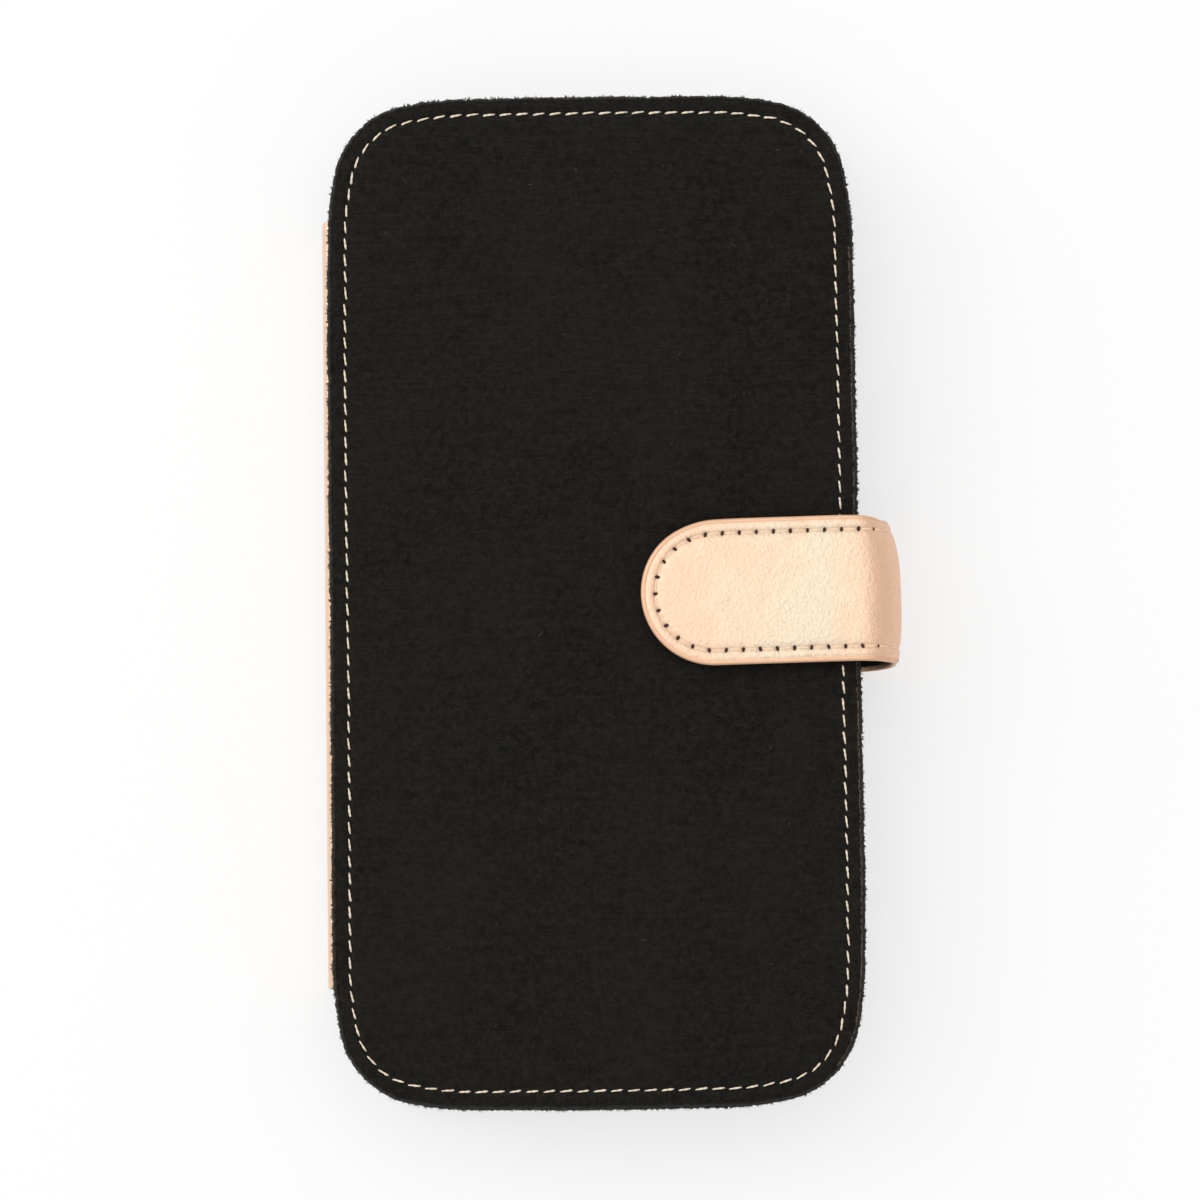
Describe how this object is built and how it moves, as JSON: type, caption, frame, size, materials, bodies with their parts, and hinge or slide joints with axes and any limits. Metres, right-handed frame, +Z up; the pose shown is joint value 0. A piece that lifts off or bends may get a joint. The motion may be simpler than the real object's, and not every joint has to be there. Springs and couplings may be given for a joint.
{
  "type": "crochet hook case",
  "caption": "Book-style case for crochet hooks: velour-covered stiff panels, a leather spine, and a wrap-over strap with a magnetic snap, with elastic hook loops and a pocket inside.",
  "frame": {"origin": "centre of the back panel's underside, on the plane that the closed case rests on", "axes": "+Z up through the closed case towards the front panel, +Y along the long side towards the pocket's mouth, +X from the spine towards the side that the strap closes"},
  "size_m": [0.1082, 0.191, 0.0282],
  "materials": {
    "velour": "matt short-pile velour, black",
    "foam": "thin foam sheet",
    "greyboard": "grey paper board",
    "lining": "fine twill, black",
    "elastic": "woven elastic, black",
    "pocket_cloth": "fine twill, black",
    "rose_gold_leather": "metallic grained leather, rose gold",
    "strap_lining": "short-pile velour, black",
    "nickel": "polished nickel plate",
    "steel": "plain steel",
    "magnet": "sintered magnet",
    "stiffener": "thin plastic sheet"
  },
  "bodies": {
    "back_cover": {"back_velour": "velour", "back_padding": "foam", "back_board": "greyboard", "back_lining": "lining", "back_spine_flange": "rose_gold_leather", "upper_hook_band": "elastic", "lower_hook_band": "elastic", "strap_root_leather": "rose_gold_leather", "strap_root_lining": "strap_lining"},
    "spine": {"spine_leather": "rose_gold_leather", "spine_board": "greyboard", "spine_lining": "lining"},
    "front_cover": {"front_velour": "velour", "front_padding": "foam", "front_board": "greyboard", "front_lining": "lining", "front_spine_flange": "rose_gold_leather", "accessory_pocket": "pocket_cloth", "pocket_binding": "rose_gold_leather", "snap_socket": "nickel", "snap_magnet": "magnet", "snap_socket_washer": "steel"},
    "strap_side": {"strap_side_leather": "rose_gold_leather", "strap_side_lining": "strap_lining"},
    "strap_tab": {"strap_tab_leather": "rose_gold_leather", "strap_tab_lining": "strap_lining", "strap_tab_stiffener": "stiffener", "snap_stud": "nickel", "snap_stud_washer": "steel"}
  },
  "joints": [
    {"name": "spine_fold", "type": "hinge", "parent": "back_cover", "child": "spine", "pos_m": [-0.05, 0, 0.0033], "axis": [0, -1, 0], "range_deg": [0, 90]},
    {"name": "cover_fold", "type": "hinge", "parent": "spine", "child": "front_cover", "pos_m": [-0.05, 0, 0.0213], "axis": [0, -1, 0], "range_deg": [0, 90]},
    {"name": "strap_root_fold", "type": "hinge", "parent": "back_cover", "child": "strap_side", "pos_m": [0.05549, 0.001, 0.00436], "axis": [0, 1, 0], "range_deg": [0, 90]},
    {"name": "strap_tab_fold", "type": "hinge", "parent": "strap_side", "child": "strap_tab", "pos_m": [0.05549, 0.001, 0.02599], "axis": [0, 1, 0], "range_deg": [0, 90]}
  ]
}
